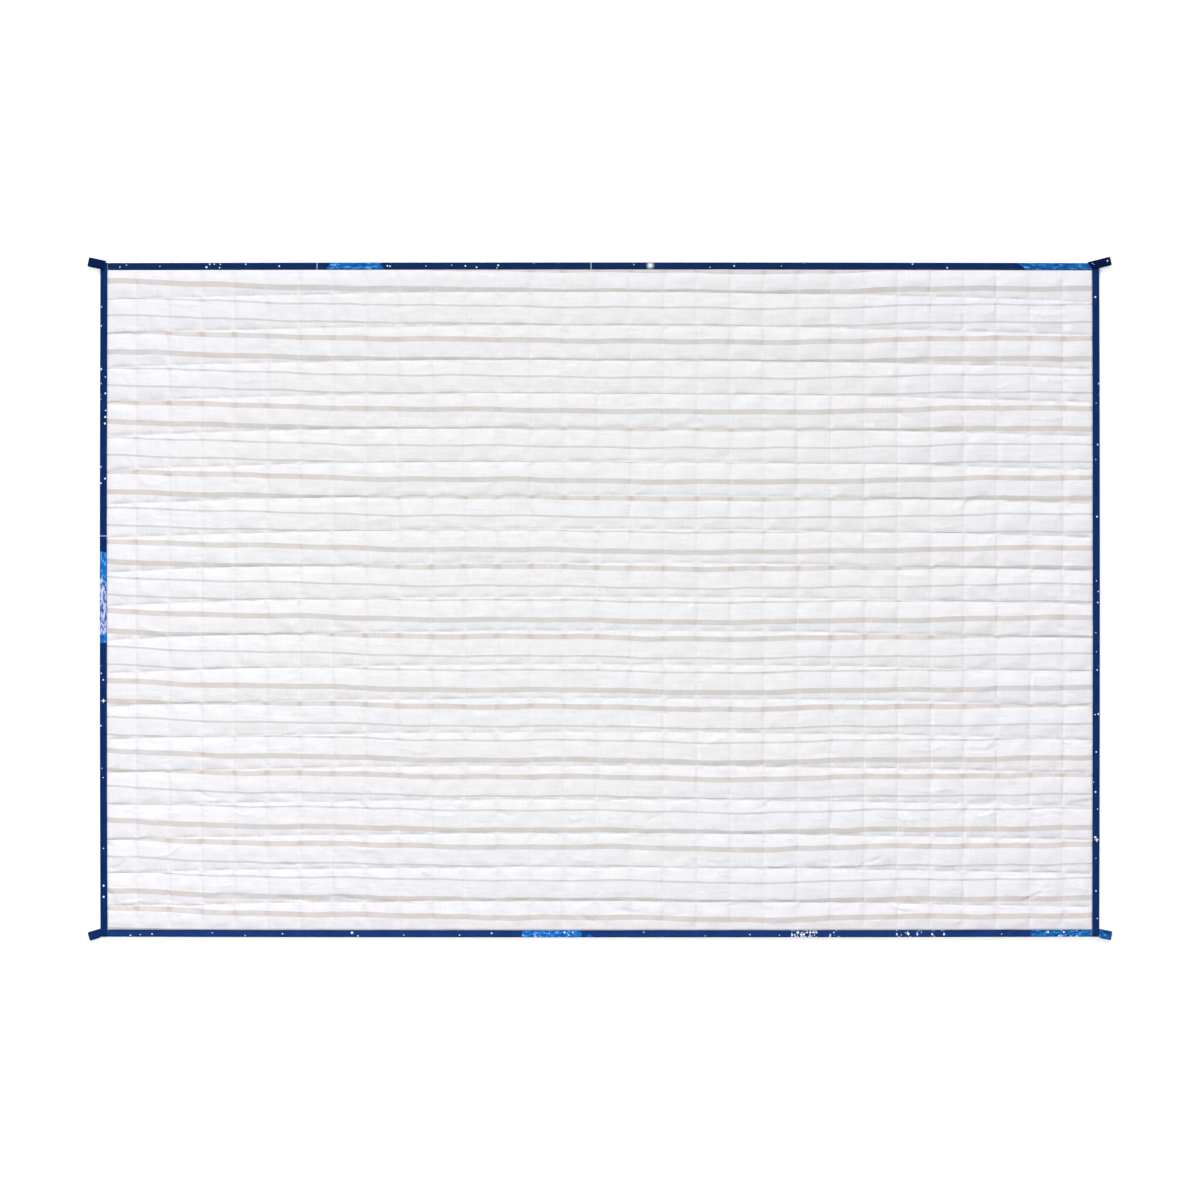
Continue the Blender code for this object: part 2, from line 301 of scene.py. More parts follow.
def row_line(number, x):
    """y of lines of sewing at x, counted from the bottom."""
    middle = ROWS / 2
    inside = (number > 0) & (number < ROWS)
    across = x / HALF_LENGTH
    arch = ROW_LIFT - ROW_LEAN * across - ROW_ARCH * across**2
    sag = LEFT_SAG * np.sin(np.pi * number / ROWS) ** 2 * np.exp(-(x + HALF_LENGTH) / 0.22)
    wander = LINE_WANDER * np.sin(x / 0.047 + number * 1.9) * np.sin(x / 0.17 + number)
    arch *= 1 + ARCH_FADE * (number - middle) / middle
    line = (number - middle) * ROW_PITCH + arch - sag + wander
    return np.where(inside, line, np.sign(number - middle) * (side_edge(x) - INNER))


def places(pockets, shares):
    """Where the panel's points lie along one way, in pockets."""
    inside = [pocket + share for pocket in range(pockets) for share in shares]
    return np.array([*inside, pockets], dtype=float)


def pocket_of(place, pockets):
    """The number of the pocket that each place lies in."""
    return np.minimum(np.floor(place), pockets - 1).astype(int)


def away_from_sewing(place, pitch):
    return np.abs(place - np.rint(place)) * pitch


def three(first, second, third):
    return np.stack(np.broadcast_arrays(first, second, third), axis=-1)


def plan(column, row):
    """x and y of points of the panel, from their places among the lines of sewing."""
    low = pocket_of(column, COLUMNS)
    share = column - low
    y_near = (row - ROWS / 2) * ROW_PITCH
    x = column_line(low, y_near) * (1 - share) + column_line(low + 1, y_near) * share
    low = pocket_of(row, ROWS)
    share = row - low
    y = row_line(low, x) * (1 - share) + row_line(low + 1, x) * share
    return x, y


# ---- The panel's shape ----


def rise(place, pitch, powers, pinches):
    """How far a pocket has risen, from 0 on the line of sewing to 1 at its middle."""
    share = place - np.floor(place)
    near = np.minimum(share, 1 - share) * pitch
    power = np.where(share < 0.5, *powers)
    pinch = np.where(share < 0.5, *pinches)
    broad = 1 - (1 - 2 * near / pitch) ** power
    return pinch * (1 - np.exp(-near / PINCH_REACH)) + (1 - pinch) * broad


def lumps(x, y):
    """Unevenness of the filling, from -1 to 1, over 15 to 40 mm."""
    total = np.zeros_like(x)
    waves = ((0.019, 0.4, 0.0), (0.027, 1.9, 1.3), (0.014, 2.7, 4.1), (0.034, 0.9, 2.2))
    for size, turn, start in waves:
        along = x * math.cos(turn) + y * math.sin(turn)
        across = y * math.cos(turn) - x * math.sin(turn)
        total += np.sin(along / size * 2 + start + 1.5 * np.sin(across / size)) / 4
    return total


def creases(x, y):
    """Height of the small folds."""
    total = np.zeros_like(x)
    for values in CREASES:
        fold = dict(zip(CREASE_COLUMNS, values))
        turn = math.radians(fold["turn_deg"])
        east = x - fold["x"] * MM
        north = y - fold["y"] * MM
        along = (east * math.cos(turn) + north * math.sin(turn)) / (fold["reach"] * MM)
        away = north * math.cos(turn) - east * math.sin(turn)
        away += 1.2 * MM * np.sin(2.4 * along + fold["x"])
        total += fold["height"] * MM * np.exp(-((away / CREASE_WIDTH) ** 2) - along**4)
    return total


def top_height(column, row, x, y):
    """z of the top cloth before it settles."""
    up_column = rise(column, COLUMN_PITCH, COLUMN_POWERS, COLUMN_PINCHES)
    up_row = rise(row, ROW_PITCH, ROW_POWERS, ROW_PINCHES)
    both = up_column * up_row
    fill = fill_of_pocket[pocket_of(row, ROWS), pocket_of(column, COLUMNS)]
    crown = CROWN_HEIGHT * (1 + CROWN_UNEVEN * fill) - COLUMN_SEAM_HEIGHT
    row_seam = ROW_SEAM_HEIGHT + ROW_SEAM_FLATTER * np.exp(-((x / FLATTER_REACH) ** 2))
    dip = (row_seam - COLUMN_SEAM_HEIGHT) * up_column * (1 - up_row)
    height = COLUMN_SEAM_HEIGHT + crown * both + dip
    beside = np.minimum(away_from_sewing(column, COLUMN_PITCH), away_from_sewing(row, ROW_PITCH))
    height -= NOTCH * np.exp(-beside / NOTCH_REACH)
    height += LUMPS * both * lumps(x, y) + creases(x, y) * np.minimum(1, 6 * both)
    rim = (column == 0) | (column == COLUMNS) | (row == 0) | (row == ROWS)
    return np.where(rim, EDGE_TOP, height)


def back_height(column, row):
    """z of the underside: flat on the floor, drawn up along the sewing."""
    flat = rise(column, COLUMN_PITCH, BACK_POWERS, BACK_PINCHES)
    flat = flat * rise(row, ROW_PITCH, BACK_POWERS, BACK_PINCHES)
    return EDGE_UNDERSIDE * (1 - np.clip(flat * 1.02, 0, 1))


def swallowed(place, pitch):
    """How much further along the cloth a point lies than it does along the plan."""
    share = place - np.floor(place)
    near = np.minimum(share, 1 - share) * pitch
    return TAKE_UP * (1 - 2 * share) * (1 - np.exp(-near / TAKE_UP_REACH))


def woven(column, row, x, y):
    """Where a point lies along the flat cloth and across it."""
    dip_x, dips = MM * np.array(STRIPE_DIP).T
    shifts = (0.0, -DIP_SMOOTHING, DIP_SMOOTHING)
    dip = sum(np.interp(x + shift, dip_x, dips) for shift in shifts) / len(shifts)
    low = pocket_of(column, COLUMNS)
    line = np.minimum(np.floor(row), ROWS).astype(int)
    slip = SLIP * slip_of_pocket[line, low] * np.sin(np.pi * (column - low)) ** 2
    sway = 0.8 * MM * np.sin(x / 0.061 + y / 0.19) + 0.5 * MM * np.sin(x / 0.023 + y / 0.045)
    along = x + 0.5 * swallowed(column, COLUMN_PITCH)
    across = y + dip + slip + sway + swallowed(row, ROW_PITCH)
    return along, across


def new_object(name, mesh):
    item = bpy.data.objects.new(name, mesh)
    SCENE.collection.objects.link(item)
    return item


def grid_points(shape, rows, columns):
    """Adds a grid, and gives each of its points with its row and its column."""
    sizes = {"x_segments": columns - 1, "y_segments": rows - 1, "size": 1.0}
    for point in bmesh.ops.create_grid(shape, **sizes)["verts"]:
        up = round((point.co.y + 1) / 2 * (rows - 1))
        across = round((point.co.x + 1) / 2 * (columns - 1))
        yield point, up, across


def settle():
    """How the top cloth moves as it comes to rest, cut a little larger than its pockets."""
    shares = np.arange(SETTLE_STEPS) / SETTLE_STEPS
    column, row = np.meshgrid(places(COLUMNS, shares), places(ROWS, shares))
    x, y = plan(column, row)
    sewn = (column == np.floor(column)) | (row == np.floor(row))
    laid = three(x, y, top_height(column, row, x, y))
    laid += chance.normal(0.0, SETTLE_START, laid.shape) * ~sewn[..., None]
    shape = bmesh.new()
    number_of = {}
    for point, up, across in grid_points(shape, *sewn.shape):
        point.co = laid[up, across]
        number_of[up, across] = point.index
    mesh = bpy.data.meshes.new("settling_cloth")
    shape.to_mesh(mesh)
    shape.free()
    item = new_object("settling_cloth", mesh)
    seams = item.vertex_groups.new(name="seams")
    seams.add([number_of[tuple(place)] for place in np.argwhere(sewn).tolist()], 1.0, "REPLACE")
    cloth = item.modifiers.new("Cloth", "CLOTH")
    for name, value in CLOTH_SETTINGS.items():
        setattr(cloth.settings, name, value)
    cloth.settings.vertex_group_mass = seams.name
    cloth.settings.effector_weights.gravity = 0.0
    cloth.collision_settings.use_collision = False
    cloth.point_cache.frame_start = 1
    cloth.point_cache.frame_end = SETTLE_FRAMES
    for number in range(1, SETTLE_FRAMES + 1):
        SCENE.frame_set(number)
    done = item.evaluated_get(bpy.context.evaluated_depsgraph_get()).to_mesh()
    rest = np.empty(len(done.vertices) * 3)
    done.vertices.foreach_get("co", rest)
    rest = rest.reshape(-1, 3)
    move = np.zeros_like(laid)
    for (up, across), number in number_of.items():
        move[up, across] = rest[number] - laid[up, across]
    SCENE.frame_set(1)
    bpy.data.objects.remove(item)
    bpy.data.meshes.remove(mesh)
    for up in range(SETTLE_STEPS):
        for across in range(SETTLE_STEPS):
            same_place = move[up:-1:SETTLE_STEPS, across:-1:SETTLE_STEPS]
            same_place -= same_place.mean(axis=(0, 1))
    length = np.linalg.norm(move, axis=2, keepdims=True)
    return move * SETTLE_CAP * np.tanh(length / SETTLE_CAP) / np.maximum(length, 1e-9)


def read_evenly(pockets):
    """The share of each of the settling cloth's lines in each of the panel's, read as a cubic."""
    place = places(pockets, TOP_SHARES) * SETTLE_STEPS
    low = np.minimum(np.floor(place).astype(int), pockets * SETTLE_STEPS - 1)
    t = place - low
    shares = np.zeros((len(place), pockets * SETTLE_STEPS + 1))
    cubic = (
        (-1, (-t + 2 * t**2 - t**3) / 2),
        (0, (2 - 5 * t**2 + 3 * t**3) / 2),
        (1, (t + 4 * t**2 - 3 * t**3) / 2),
        (2, (t**3 - t**2) / 2),
    )
    for offset, share in cubic:
        line = np.clip(low + offset, 0, pockets * SETTLE_STEPS)
        np.add.at(shares, (np.arange(len(place)), line), share)
    return shares


def lay_grid(shape, position, cloth, quilting):
    """Adds a sheet of the panel whose points are given row by row."""
    layers = shape.verts.layers.float_vector
    made = []
    for point, up, across in grid_points(shape, *position.shape[:2]):
        point.co = position[up, across]
        point[layers["cloth"]] = cloth[up, across]
        point[layers["quilting"]] = quilting[up, across]
        made.append(point)
    return made


def rim_band(shape, ring, outside, height):
    """Carries the panel's rim on by one band, inside the fold of the tape."""
    new = bmesh.ops.extrude_edge_only(shape, edges=ring)["geom"]
    for point in (item for item in new if isinstance(item, bmesh.types.BMVert)):
        x, y, _ = point.co
        if abs(abs(x) - end_edge(y)) < 2 * INNER:
            x = math.copysign(end_edge(y) - outside, x)
        if abs(abs(y) - side_edge(x)) < 2 * INNER:
            y = math.copysign(side_edge(x) - outside, y)
        point.co = Vector((x, y, height))
    return [item for item in new if isinstance(item, bmesh.types.BMEdge)]


def make_panel(material):
    """The quilted panel: both cloths in one closed mesh."""
    column, row = np.meshgrid(places(COLUMNS, TOP_SHARES), places(ROWS, TOP_SHARES))
    x, y = plan(column, row)
    top = three(x, y, top_height(column, row, x, y))
    top += np.einsum("ij,jkc,lk->ilc", read_evenly(ROWS), settle(), read_evenly(COLUMNS))
    cloth = three(*woven(column, row, x, y), 1.0)
    shape = bmesh.new()
    for name in ("cloth", "quilting"):
        shape.verts.layers.float_vector.new(name)
    lay_grid(shape, top, cloth, three(column, row, 1.0))
    ring = [edge for edge in shape.edges if edge.is_boundary]
    ring = rim_band(shape, ring, EDGE_FROM_OUTSIDE, EDGE_TOP)
    ring = rim_band(shape, ring, EDGE_FROM_OUTSIDE, EDGE_UNDERSIDE)
    column, row = np.meshgrid(places(COLUMNS, BACK_SHARES), places(ROWS, BACK_SHARES))
    x, y = plan(column, row)
    back = three(x, y, back_height(column, row))
    cloth = three(*woven(column, row, x, y), -1.0)
    below = set(lay_grid(shape, back, cloth, three(column, row, -1.0)))
    ring = [edge for edge in ring if edge.is_boundary]
    ring += [edge for edge in shape.edges if edge.is_boundary and edge.verts[0] in below]
    bmesh.ops.bridge_loops(shape, edges=ring)
    bmesh.ops.recalc_face_normals(shape, faces=shape.faces)
    return finish_shape("quilted_cloth", shape, material), top


def finish_shape(name, shape, material):
    """A smooth-shaded object from a bmesh."""
    for face in shape.faces:
        face.smooth = True
    mesh = bpy.data.meshes.new(name)
    shape.to_mesh(mesh)
    shape.free()
    mesh.materials.append(material)
    return new_object(name, mesh)


# ---- Sewing ----


def stitch_tree():
    """Geometry nodes that lay grains of thread along every line of a mesh of edges."""
    tree = bpy.data.node_groups.new("Stitches along lines", "GeometryNodeTree")
    inputs = {"Lines": "Geometry", "Pitch": "Float", "Size": "Vector", "Thread": "Material"}
    for title, kind in inputs.items():
        tree.interface.new_socket(title, in_out="INPUT", socket_type="NodeSocket" + kind)
    tree.interface.new_socket("Stitches", in_out="OUTPUT", socket_type="NodeSocketGeometry")
    given = add(tree, "NodeGroupInput")
    line = add(tree, "GeometryNodeMeshToCurve", {"Mesh": given["Lines"]})["Curve"]
    inputs = {"Curve": line, "Length": given["Pitch"]}
    even = add(tree, "GeometryNodeResampleCurve", inputs, mode="LENGTH")["Curve"]
    tangent = add(tree, "GeometryNodeInputTangent")["Tangent"]
    turn = add(tree, "FunctionNodeAlignRotationToVector", {"Vector": tangent}, axis="X")["Rotation"]
    grain = add(tree, "GeometryNodeMeshIcoSphere", {"Radius": 1.0, "Subdivisions": 1})["Mesh"]
    grain = add(tree, "GeometryNodeSetShadeSmooth", {"Geometry": grain})["Geometry"]
    inputs = {"Points": even, "Instance": grain, "Rotation": turn, "Scale": given["Size"]}
    put = add(tree, "GeometryNodeInstanceOnPoints", inputs)["Instances"]
    real = add(tree, "GeometryNodeRealizeInstances", {"Geometry": put})["Geometry"]
    inputs = {"Geometry": real, "Material": given["Thread"]}
    done = add(tree, "GeometryNodeSetMaterial", inputs)["Geometry"]
    link(done, tree.nodes.new("NodeGroupOutput").inputs["Stitches"])
    return tree


def sew(name, lines, pitch, size, thread, tree):
    """Stitches along lines of points, as one mesh."""
    shape = bmesh.new()
    for line in lines:
        points = [shape.verts.new(spot) for spot in line]
        for first, second in zip(points, points[1:]):
            shape.edges.new((first, second))
    item = finish_shape(name, shape, thread)
    nodes = item.modifiers.new("Stitches", "NODES")
    nodes.node_group = tree
    sockets = {s.name: s.identifier for s in tree.interface.items_tree if s.in_out == "INPUT"}
    nodes[sockets["Pitch"]] = pitch
    nodes[sockets["Size"]] = size
    nodes[sockets["Thread"]] = thread
    sewn = item.evaluated_get(bpy.context.evaluated_depsgraph_get())
    mesh = bpy.data.meshes.new_from_object(sewn)
    item.modifiers.clear()
    item.data = mesh
    return item


# ---- Tape ----


def tape_section():
    """The fold at the middle of the tape's cloth, from its lower inner edge round to its upper:
    (how far in, height)."""
    low = TAPE_CLOTH / 2
    high = TAPE_SEAT + TAPE_CLOTH / 2
    middle = (low + high) / 2
    radius = (high - low) / 2
    lower = [(TAPE_WIDTH, low), (8.0 * MM, low), (5.0 * MM, low)]
    turns = [math.pi * step / 8 for step in range(9)]
    outside = radius + TAPE_CLOTH / 2
    bend = [(outside - radius * math.sin(t), middle - radius * math.cos(t)) for t in turns]
    upper = [
        (4.6 * MM, high + 0.05 * MM),
        (7.4 * MM, high + 0.02 * MM),
        (8.9 * MM, high - 0.16 * MM),
        (9.8 * MM, high - 0.02 * MM),
        (10.5 * MM, high - 0.14 * MM),
        (TAPE_WIDTH, high - 0.42 * MM),
    ]
    return lower + bend + upper


def lengths_along(path):
    """How far along a path each of its points lies."""
    lengths = [0.0]
    for first, second in zip(path, path[1:]):
        lengths.append(lengths[-1] + math.dist(first, second))
    return lengths


def ripple(along, start):
    """Slow unevenness along a sewn strip, from -1 to 1."""
    return (
        math.sin(along / 0.0083 + start)
        + math.sin(along / 0.021 + 2 * start)
        + 1.4 * math.sin(along / 0.067 + 3 * start)
    ) / 3.4


def make_tape(name, place, reach, steps, start, closed_ends, material):
    """A strip of tape over the panel's edge. place(along, inward, height) gives a point of it."""
    section = tape_section()
    lengths = lengths_along(section)
    shape = bmesh.new()
    tape_layer = shape.verts.layers.float_vector.new("tape")
    bmesh.ops.create_grid(shape, x_segments=steps, y_segments=len(section) - 1, size=1.0)
    for point in shape.verts:
        number = round((point.co.y + 1) / 2 * (len(section) - 1))
        along = point.co.x * reach
        inward, height = section[number]
        top = max(0.0, (height - 2.5 * MM) / (2.2 * MM))
        loose = min(1.0, inward / (6 * MM))
        inward += TAPE_WANDER * ripple(along, start) * loose
        height += TAPE_WAVE * ripple(along * 1.3, start + 1.7) * top * loose
        point.co = place(along, inward, height)
        point[tape_layer] = (along, lengths[number] - lengths[-1] + 5.3 * MM, 0.0)
    if closed_ends:
        for end in (-1, 1):
            last = max(end * point.co.y for point in shape.verts)
            rim = {point for point in shape.verts if end * point.co.y > last - 0.05 * MM}
            edges = [edge for edge in shape.edges if rim.issuperset(edge.verts)]
            bmesh.ops.contextual_create(shape, geom=edges)
    bmesh.ops.recalc_face_normals(shape, faces=shape.faces)
    item = finish_shape(name, shape, material)
    add_thickness(item, TAPE_CLOTH)
    return item


def add_thickness(item, cloth):
    thickness = item.modifiers.new("Cloth thickness", "SOLIDIFY")
    thickness.thickness = cloth
    thickness.offset = 0.0
    thickness.use_even_offset = True
    soft = item.modifiers.new("Soft edges", "BEVEL")
    soft.width = 0.3 * MM
    soft.segments = 2
    soft.limit_method = "ANGLE"
    soft.angle_limit = math.radians(50)


def place_on_end(end):
    def place(along, inward, height):
        return end * (end_edge(along) - inward), along, height

    return place


def place_on_side(side):
    def place(along, inward, height):
        return along, side * (side_edge(along) - inward), height

    return place


def fold_path(reach, steps):
    """The round fold at a loop's far end."""
    radius = (LOOP_GAP + LOOP_CLOTH) / 2
    centre_out = reach - radius - LOOP_CLOTH / 2
    centre_up = radius + LOOP_CLOTH / 2
    turns = [math.pi * step / steps for step in range(steps + 1)]
    return [(centre_out + radius * math.sin(t), centre_up - radius * math.cos(t)) for t in turns]


def loop_path(reach, lap):
    """(distance out, height) on a loop's tape, from its lower end round the fold to the upper."""
    low = LOOP_CLOTH / 2
    high = low + LOOP_GAP + LOOP_CLOTH
    shares = [step / 6 for step in range(7)]
    if lap:
        on_tape = TAPE_SEAT + TAPE_CLOTH + CLEARANCE + LOOP_CLOTH / 2
        lower = [(LOOP_SPRING * s, low) for s in shares]
        upper = [(-lap * share, on_tape) for share in (1.0, 0.75, 0.5, 0.25)]
        up = high - on_tape
        upper += [(LOOP_SPRING * s, on_tape + up * (3 - 2 * s) * s**2) for s in shares]
    else:
        low_root, high_root = LOOP_ROOT
        lower = [(LOOP_SPRING * s, low + (low_root - low) * (1 - s) ** 2) for s in shares]
        upper = [(LOOP_SPRING * s, high + (high_root - high) * (1 - s) ** 2) for s in shares]
    return lower + fold_path(reach, 10) + upper[::-1]


def make_loop(size, material):
    """A length of tape folded back on itself, with both its ends sewn to a corner."""
    end = size["end"]
    tilt = math.radians(size["tilt_deg"])
    root = Vector((end * (end_edge(size["root_y"]) + CLEARANCE), size["root_y"], 0.0))
    along = Vector((end * math.cos(tilt), math.sin(tilt), 0.0))
    across_root = Vector((0.0, 1.0, 0.0))
    across_fold = Vector((-end * math.sin(tilt), math.cos(tilt), 0.0))
    path = loop_path(size["reach"], size["lap"])
    lengths = lengths_along(path)
    shape = bmesh.new()
    tape_layer = shape.verts.layers.float_vector.new("tape")
    bmesh.ops.create_grid(shape, x_segments=len(path) - 1, y_segments=8, size=1.0)
    for point in shape.verts:
        number = round((point.co.x + 1) / 2 * (len(path) - 1))
        out, height = path[number]
        share = min(max(out / size["reach"], 0.0), 1.0)
        side = point.co.y
        across = across_root.lerp(across_fold, share).normalized()
        width = size["width"] * (1 - 0.05 * max(0.0, share - 0.8) / 0.2)
        out -= 0.5 * MM * side**6 * share**4
        out *= 1 + 0.25 * side * (out < 0)  # the end that laps over the corner is cut at a slant
        spot = root + along * out + across * (side * width / 2)
        sag = 0.12 * MM * math.sin(out / 0.0027 + side * 2.0 + end) * share
        point.co = spot + Vector((0, 0, max(height + sag * (height > 2 * MM), LOOP_CLOTH / 2)))
        point[tape_layer] = (end * lengths[number] + size["root_y"], side * width / 2, 0.0)
    bmesh.ops.recalc_face_normals(shape, faces=shape.faces)
    item = finish_shape("tape_" + size["name"], shape, material)
    add_thickness(item, LOOP_CLOTH)
    return item, lengths[-1]


# ---- Materials ----


class Field:
    """What a node gives, as it varies over a piece. Each sum done on it is a node of its own."""

    def __init__(self, tree, socket):
        self.tree = tree
        self.socket = socket

    def __add__(self, other):
        return maths("ADD", self, other)

    def __sub__(self, other):
        return maths("SUBTRACT", self, other)

    def __rsub__(self, other):
        return maths("SUBTRACT", other, self)

    def __mul__(self, other):
        return maths("MULTIPLY", self, other)

    def __truediv__(self, other):
        return maths("DIVIDE", self, other)

    def __rtruediv__(self, other):
        return maths("DIVIDE", other, self)

    def __pow__(self, other):
        return maths("POWER", self, other)

    def __abs__(self):
        return maths("ABSOLUTE", self)


def add(tree, kind, inputs=None, **settings):
    """The outputs, by number and by name, of a new node with these settings and inputs."""
    node = tree.nodes.new(kind)
    for name, value in settings.items():
        setattr(node, name, value)
    for name, value in (inputs or {}).items():
        if isinstance(value, Field):
            tree.links.new(value.socket, node.inputs[name])
        else:
            node.inputs[name].default_value = value
    outputs = {socket.name: Field(tree, socket) for socket in node.outputs}
    return outputs | {number: Field(tree, socket) for number, socket in enumerate(node.outputs)}


def link(field, socket):
    field.tree.links.new(field.socket, socket)


def maths(operation, *values):
    tree = next(value.tree for value in values if isinstance(value, Field))
    return add(tree, "ShaderNodeMath", dict(enumerate(values)), operation=operation)["Value"]


def fading(value):
    """1 where value is 0, and less the larger it is."""
    return maths("EXPONENT", value * -1.0)


def vector_sum(operation, *values):
    inputs = dict(enumerate(values))
    return add(values[0].tree, "ShaderNodeVectorMath", inputs, operation=operation)


def split(vector):
    return add(vector.tree, "ShaderNodeSeparateXYZ", {0: vector})


def stretched(vector, across, up):
    return vector_sum("MULTIPLY", vector, (across, up, 0.0))["Vector"]


def mix_colour(share, first, second):
    return add(share.tree, "ShaderNodeMix", {0: share, 6: first, 7: second}, data_type="RGBA")[2]


def shaded(colour, shade):
    """A colour made lighter or darker by a value."""
    grey = add(shade.tree, "ShaderNodeCombineColor", {"Red": shade, "Green": shade, "Blue": shade})
    inputs = {0: 1.0, 6: colour, 7: grey["Color"]}
    return add(shade.tree, "ShaderNodeMix", inputs, data_type="RGBA", blend_type="MULTIPLY")[2]


def opaque(colour, light=1.0):
    """A colour's red, green and blue, made lighter or darker, with its alpha."""
    return tuple(light * part for part in colour) + (1,)


def noise(vector, scale, detail=2.0, roughness=0.5):
    inputs = {"Vector": vector, "Scale": scale, "Detail": detail, "Roughness": roughness}
    return add(vector.tree, "ShaderNodeTexNoise", inputs)["Fac"]


def soft_step(value, low, high):
    """0 below low, 1 above high."""
    inputs = {"Value": value, "From Min": low, "From Max": high, "To Min": 0.0, "To Max": 1.0}
    return add(value.tree, "ShaderNodeMapRange", inputs, interpolation_type="SMOOTHSTEP")["Result"]


def bump(height, distance, strength, normal=None):
    inputs = {"Height": height, "Distance": distance, "Strength": strength}
    if normal is not None:
        inputs["Normal"] = normal
    return add(height.tree, "ShaderNodeBump", inputs)["Normal"]


def attribute(tree, name):
    return add(tree, "ShaderNodeAttribute", attribute_name=name)["Vector"]


def strewn_cells(vector, spacing, randomness, **settings):
    """Irregular cells with about this spacing."""
    inputs = {"Vector": vector, "Scale": 1.0 / spacing, "Randomness": randomness}
    return add(vector.tree, "ShaderNodeTexVoronoi", inputs, voronoi_dimensions="2D", **settings)


def drawn(cells):
    """Three numbers drawn at random for each cell, as Red, Green and Blue."""
    return add(cells["Color"].tree, "ShaderNodeSeparateColor", {0: cells["Color"]})


def new_group(name, inputs, outputs):
    """A shader node group: its inputs with their defaults, None for a vector, and its values."""
    tree = bpy.data.node_groups.new(name, "ShaderNodeTree")
    for title, default in inputs.items():
        kind = "NodeSocketVector" if default is None else "NodeSocketFloat"
        socket = tree.interface.new_socket(title, in_out="INPUT", socket_type=kind)
        if default is not None:
            socket.default_value = default
    for title in outputs:
        tree.interface.new_socket(title, in_out="OUTPUT", socket_type="NodeSocketFloat")
    given = add(tree, "NodeGroupInput")
    return tree, given, tree.nodes.new("NodeGroupOutput").inputs


def use_group(tree, group, **inputs):
    """A group's outputs. Its inputs are given with an underscore for each space."""
    inputs = {name.replace("_", " "): value for name, value in inputs.items()}
    return add(tree, "ShaderNodeGroup", inputs, node_tree=group)


def band_group():
    """A band across a distance: 1 inside it and 0 outside."""
    inputs = {"Distance": 0.0, "Middle": 0.0, "Half width": 0.004, "Softness": 0.0003}
    tree, given, result = new_group("Woven band", inputs, ["Band"])
    away = abs(given["Distance"] - given["Middle"])
    low = given["Half width"] - given["Softness"]
    high = given["Half width"] + given["Softness"]
    link(1.0 - soft_step(away, low, high), result["Band"])
    return tree


def yarn_group():
    """Plain weave: the knuckles of its yarns, and how thick and thin they run."""
    inputs = {"Cloth": None, "Yarn": 0.0005}
    tree, given, result = new_group("Plain weave", inputs, ["Knuckles", "Slubs"])
    parts = split(given["Cloth"])
    warp, weft = (maths("SINE", parts[title] * math.pi / given["Yarn"]) for title in "XY")
    link(abs(warp * weft), result["Knuckles"])
    weft = noise(stretched(given["Cloth"], 14.0, 190.0), 1.0, 5.0, 0.8)
    warp = noise(stretched(given["Cloth"], 170.0, 22.0), 1.0, 5.0, 0.8)
    patchy = (soft_step(noise(given["Cloth"], 30.0, 1.0), 0.35, 0.75) + 0.25) * 0.6
    link(weft * 0.8 + ((warp - 0.5) * patchy + 0.1), result["Slubs"])
    return tree


def sewing_group():
    """Puckers beside the lines of sewing, and masks where the cloth beside them is darker: partly
    drawn-together cloth, partly painted shade.
    """
    inputs = {"Cloth": None, "Quilting": None, "Reach": 0.007}
    tree, given, result = new_group("Sewn channels", inputs, ["Puckers", "Line", "Gather and shade"])
    parts = split(given["Quilting"])
    distances, puckers = [], []
    ways = (("X", COLUMN_PITCH, 35.0, 150.0), ("Y", ROW_PITCH, 190.0, 40.0))
    for title, pitch, across, up in ways:
        away = abs(maths("FRACT", parts[title] + 0.5) - 0.5) * pitch
        folds = noise(stretched(given["Cloth"], across, up), 1.0)
        puckers.append((folds - 0.5) * fading(away / given["Reach"]))
        distances.append(away)
    beside_column, beside_row = distances
    link(puckers[0] + puckers[1], result["Puckers"])
    # Beside each row the stripes darken: partly packed dye, partly painted shade in the sewn
    # valley.
    link(1.0 - soft_step(beside_row, 0.2 * MM, 1.1 * MM), result["Line"])
    # Below each row, where a column crosses it, the cloth is darker: partly gathered cloth, partly
    # painted shade.
    below = (1.0 - maths("FRACT", parts["Y"])) * ROW_PITCH
    gathered_and_shaded = fading((beside_column / (4.2 * MM)) ** 2.0 + below / (14 * MM))
    link(soft_step(below, 1 * MM, 3 * MM) * gathered_and_shaded, result["Gather and shade"])
    return tree


def crease_group():
    """Small soft folds of the cloth, strewn at random, most of them along the rows."""
    inputs = {"Cloth": None, "Spacing": 0.09, "Width": 0.0025, "Reach": 0.025, "Share": 0.6}
    tree, given, result = new_group("Soft creases", inputs, ["Creases"])
    cells = strewn_cells(given["Cloth"], given["Spacing"], 0.8)
    edges = strewn_cells(given["Cloth"], given["Spacing"], 0.8, feature="DISTANCE_TO_EDGE")
    draw = drawn(cells)
    lean = (draw["Red"] - 0.5) ** 3.0 * 4.0
    offset = vector_sum("SUBTRACT", given["Cloth"], cells["Position"])["Vector"]
    inputs = {"Vector": offset, "Angle": lean}
    parts = split(add(tree, "ShaderNodeVectorRotate", inputs, rotation_type="Z_AXIS")["Vector"])
    along = parts["X"] / (given["Reach"] * (draw["Green"] + 0.4))
    away = parts["Y"] + maths("SINE", (along + draw["Blue"]) * 3.0) * (given["Width"] * 0.5)
    fold = fading(abs(away / given["Width"]) ** 2.0 + abs(along) ** 4.0)
    way = draw["Blue"] - 0.5
    inside = soft_step(edges["Distance"], 0.0, 0.16)
    there = maths("LESS_THAN", draw["Green"], given["Share"]) * inside
    link(fold * maths("SIGN", way) * there, result["Creases"])
    return tree


